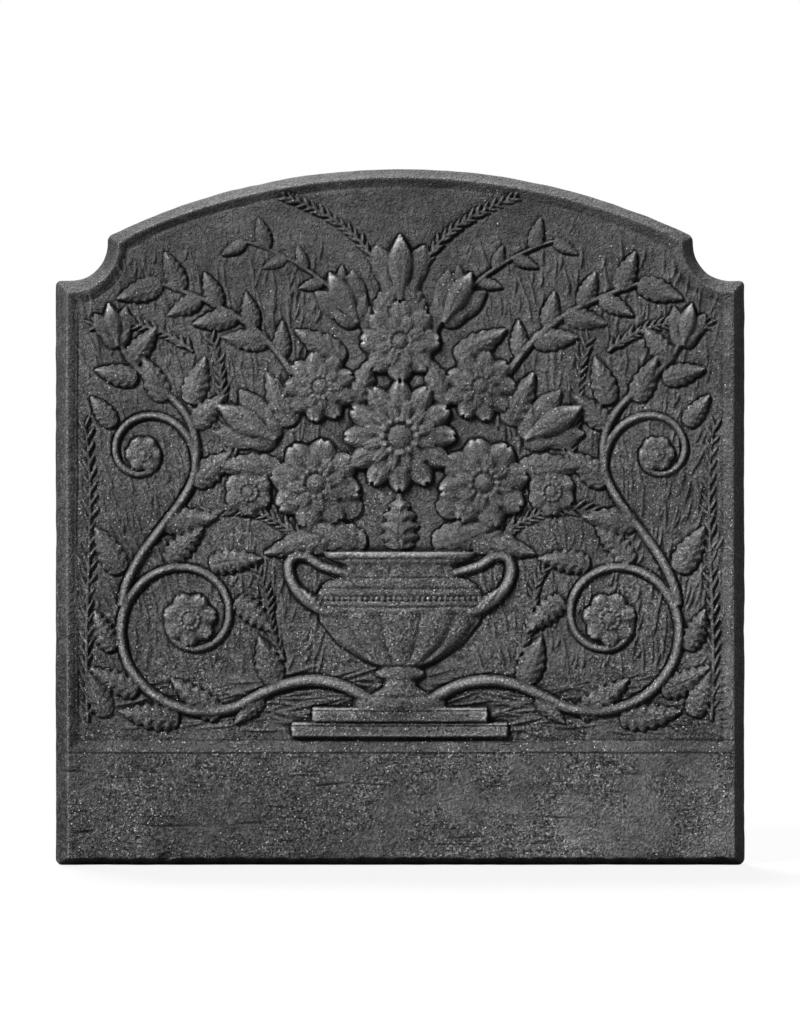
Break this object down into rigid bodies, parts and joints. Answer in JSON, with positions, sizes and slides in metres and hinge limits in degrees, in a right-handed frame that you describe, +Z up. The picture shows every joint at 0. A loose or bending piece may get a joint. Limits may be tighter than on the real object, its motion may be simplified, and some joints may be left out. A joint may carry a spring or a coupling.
{
  "type": "fireback",
  "caption": "Arched cast-iron fireback with a framed flower-urn relief, standing on rear bracket legs bolted to cast bosses.",
  "frame": {"origin": "middle of the plate's bottom face, on the hearth", "axes": "+X to the right as seen from the front, +Z up, the relief faces -Y and the legs reach back along +Y"},
  "size_m": [0.5, 0.1775, 0.505],
  "materials": {
    "casting": "matte, sand-cast, stove-blacked",
    "legs": "matte, sand-cast",
    "fixings": "satin"
  },
  "bodies": {
    "root": {"cast_plate": "casting", "left_rear_leg": "legs", "right_rear_leg": "legs", "left_upper_bolt": "fixings", "left_lower_bolt": "fixings", "right_upper_bolt": "fixings", "right_lower_bolt": "fixings", "left_upper_washer": "fixings", "left_lower_washer": "fixings", "right_upper_washer": "fixings", "right_lower_washer": "fixings"}
  },
  "joints": []
}
